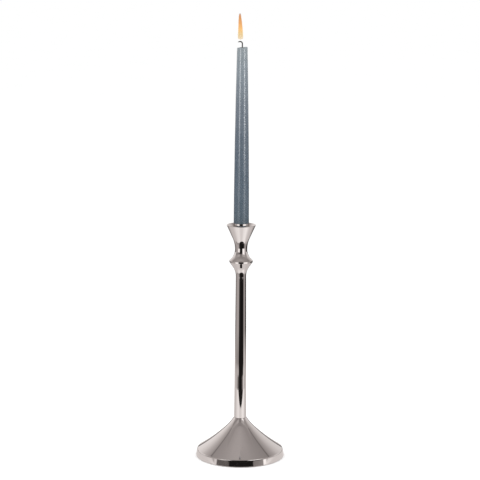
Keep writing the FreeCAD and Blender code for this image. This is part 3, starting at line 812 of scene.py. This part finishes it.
def room():
    """A dome far round the object: pale walls that end at a dark line, under a grey ceiling."""
    bm = bmesh.new()
    bmesh.ops.create_uvsphere(bm, u_segments=96, v_segments=48, radius=ROOM_RADIUS)
    below = [vert for vert in bm.verts if vert.co.z < -0.01]
    bmesh.ops.delete(bm, geom=below, context="VERTS")

    def colour(nodes, angle, parts):
        share = nodes.math("DIVIDE", parts["Z"], ROOM_RADIUS)
        rise = nodes.math("DEGREES", nodes.math("ARCSINE", share))
        level = nodes.spread(rise, 0.0, 90.0)
        around = nodes.ramp(level, [(place / 90, grey(value)) for place, value in [
            (0.0, 0.16), (4.0, 0.18), (6.5, 0.90), (20.0, 0.86), (30.0, 0.72), (38.0, 0.54), (45.0, 0.42),
            (47.5, 0.35), (48.3, 0.20), (49.4, 0.20), (50.4, 0.34), (60.0, 0.365), (70.0, 0.40), (78.0, 0.44),
            (90.0, 0.46)]])
        shade = nodes.ramp(nodes.spread(angle, -180.0, 180.0), [
            (0.0, (1, 1, 1)), (0.5, (1, 1, 1)), (0.75, (0.90, 0.90, 0.90)), (0.94, (0.86, 0.86, 0.86)),
            (1.0, (1, 1, 1))])
        return nodes.mix(1.0, around, shade, "MULTIPLY")

    return glow_piece("room", bm, colour)


FLOOR_EDGE = 0.285
FLOOR_EDGE_TURN = math.radians(8.0)
FLOOR_EDGE_BLUR = 0.006
FLOOR_RADIUS = 30.0


def floor():
    """A plain pale floor. In the polish it shows painted light instead: bands of glow, brighter and darker
    round the object, that end in front at a straight edge, with darkness past it.
    """
    material, nodes, shader = new_material("pale_floor")
    grain = nodes.noise(nodes.place(), 6.0, 3.0)
    tint = nodes.mix(grain, (0.90, 0.90, 0.90, 1), (0.92, 0.92, 0.92, 1))
    set_inputs(nodes, shader, Base_Color=tint, Roughness=0.9, Specular_IOR_Level=0.0)
    coordinates = nodes.add("ShaderNodeTexCoord").outputs["Object"]
    angle, parts = azimuth(nodes, coordinates)
    reach = nodes.add("ShaderNodeVectorMath", {0: coordinates}, operation="LENGTH").outputs["Value"]
    # Painted reflection: the polish sees a glow painted in bands by distance and angle round the object, not
    # the floor as the lamps light it.
    near = bands(nodes, angle, [(-180, 0.74), (-100, 0.74), (0, 0.78), (100, 0.74), (180, 0.74)])
    middle = bands(nodes, angle, [
        (-180, 0.66), (-95, 0.68), (-80, 0.76), (-60, 0.93), (-28, 1.0), (-12, 0.84), (12, 0.82), (30, 0.98),
        (58, 1.08), (82, 0.80), (95, 0.68), (180, 0.66)])
    far = bands(nodes, angle, [
        (-180, 0.16), (-115, 0.28), (-90, 0.46), (-50, 0.9), (60, 0.9), (92, 0.45), (104, 0.08), (165, 0.05),
        (180, 0.08)])
    first = nodes.spread(reach, 0.13, 0.19)
    second = nodes.spread(reach, 0.45, 0.85)
    shown = nodes.mix(second, nodes.mix(first, near, middle), far)
    forward = nodes.math("MULTIPLY", parts["Y"], -math.cos(FLOOR_EDGE_TURN))
    sideways = nodes.math("MULTIPLY", parts["X"], math.sin(FLOOR_EDGE_TURN))
    beyond = nodes.math("ADD", forward, sideways)
    dark = nodes.spread(beyond, FLOOR_EDGE - FLOOR_EDGE_BLUR, FLOOR_EDGE + FLOOR_EDGE_BLUR)
    shown = nodes.mix(dark, shown, grey(0.018))
    glow = nodes.add("ShaderNodeEmission", {"Color": shown, "Strength": 1.0})
    path = nodes.add("ShaderNodeLightPath")
    both = nodes.add("ShaderNodeMixShader", {0: path.outputs["Is Glossy Ray"], 1: shader.outputs["BSDF"],
                                             2: glow.outputs[0]})
    output = [node for node in material.node_tree.nodes if node.type == "OUTPUT_MATERIAL"][0]
    material.node_tree.links.new(both.outputs[0], output.inputs["Surface"])
    bm = bmesh.new()
    bmesh.ops.create_circle(bm, cap_ends=True, segments=96, radius=FLOOR_RADIUS)
    placed("floor", bm, material)


LAMP_AIM = 0.3
CANDLE_LAMP_DISTANCE = 1.0
CANDLE_LAMP_HEIGHT = 0.485
CANDLE_LAMP_AIM = 0.52
CANDLE_LAMP_SIZE = (0.06, 0.29)


def area_lamp(name, place, aim, size, power):
    """A rectangular lamp aimed at a height on the stem's axis. The camera doesn't see it."""
    data = bpy.data.lights.new(name, "AREA")
    data.shape = "RECTANGLE"
    data.size, data.size_y = size
    data.energy = power
    lamp = bpy.data.objects.new(name, data)
    bpy.context.scene.collection.objects.link(lamp)
    lamp.location = place
    lamp.rotation_euler = (Vector((0, 0, aim)) - Vector(place)).to_track_quat("-Z", "Y").to_euler()
    lamp.visible_camera = False
    return lamp


def studio_light(name, place, size, power):
    """A large soft lamp aimed at the middle of the object. It stays out of the polish."""
    area_lamp(name, place, LAMP_AIM, size, power).visible_glossy = False


def candle_lamps(wax_piece):
    """Two tall narrow lamps that only reach the candle and give it its long soft highlights."""
    lit = bpy.data.collections.new("lit_by_candle_lamps")
    lit.objects.link(wax_piece)
    for name, degrees, power in (("candle_lamp_left", -40.0, 3.0), ("candle_lamp_right", 50.0, 3.7)):
        angle = math.radians(degrees)
        place = (CANDLE_LAMP_DISTANCE * math.sin(angle), -CANDLE_LAMP_DISTANCE * math.cos(angle),
                 CANDLE_LAMP_HEIGHT)
        lamp = area_lamp(name, place, CANDLE_LAMP_AIM, CANDLE_LAMP_SIZE, power)
        lamp.visible_diffuse = False
        lamp.light_linking.receiver_collection = lit


def surroundings():
    """White air all round, a little brighter than the white that the camera sees."""
    world = bpy.data.worlds.new("room")
    bpy.context.scene.world = world
    world.use_nodes = True
    world.node_tree.nodes.clear()
    nodes = Nodes(world.node_tree)
    path = nodes.add("ShaderNodeLightPath")
    air = nodes.add("ShaderNodeBackground", {"Color": (1, 1, 1, 1), "Strength": 1.1})
    backdrop = nodes.add("ShaderNodeBackground", {"Color": (1, 1, 1, 1), "Strength": 1.0})
    seen = nodes.add("ShaderNodeMixShader", {0: path.outputs["Is Camera Ray"], 1: air.outputs[0],
                                             2: backdrop.outputs[0]})
    nodes.add("ShaderNodeOutputWorld", {"Surface": seen.outputs[0]})


floor()
screen()
room()
surroundings()
candle_lamps(wax_piece)
studio_light("left_lamp", (-1.1, -0.9, 1.2), (0.9, 1.4), 5.0)
studio_light("right_lamp", (1.1, -0.9, 1.2), (0.9, 1.4), 5.0)
studio_light("top_lamp", (0.0, 0.1, 1.9), (1.6, 1.6), 6.0)


# ---------------------------------------------------------------- camera

CAMERA_DISTANCE = 2.462
CAMERA_HEIGHT = 0.764
CAMERA_TILT = 10.20
CAMERA_ROLL = 0.34
CAMERA_YAW = 0.04
CAMERA_LENS = 130.26


def camera():
    """The camera that looks slightly down at the object from in front."""
    data = bpy.data.cameras.new("camera")
    data.sensor_width = 36.0
    data.lens = CAMERA_LENS
    data.clip_start, data.clip_end = 0.05, 50.0
    eye = bpy.data.objects.new("camera", data)
    bpy.context.scene.collection.objects.link(eye)
    turn = (Matrix.Rotation(math.radians(CAMERA_YAW), 4, "Z")
            @ Matrix.Rotation(math.radians(90 - CAMERA_TILT), 4, "X")
            @ Matrix.Rotation(math.radians(CAMERA_ROLL), 4, "Z"))
    eye.matrix_world = Matrix.Translation((0, -CAMERA_DISTANCE, CAMERA_HEIGHT)) @ turn
    bpy.context.scene.camera = eye


camera()
bpy.context.scene.view_settings.view_transform = "Standard"

bpy.context.view_layer.update()
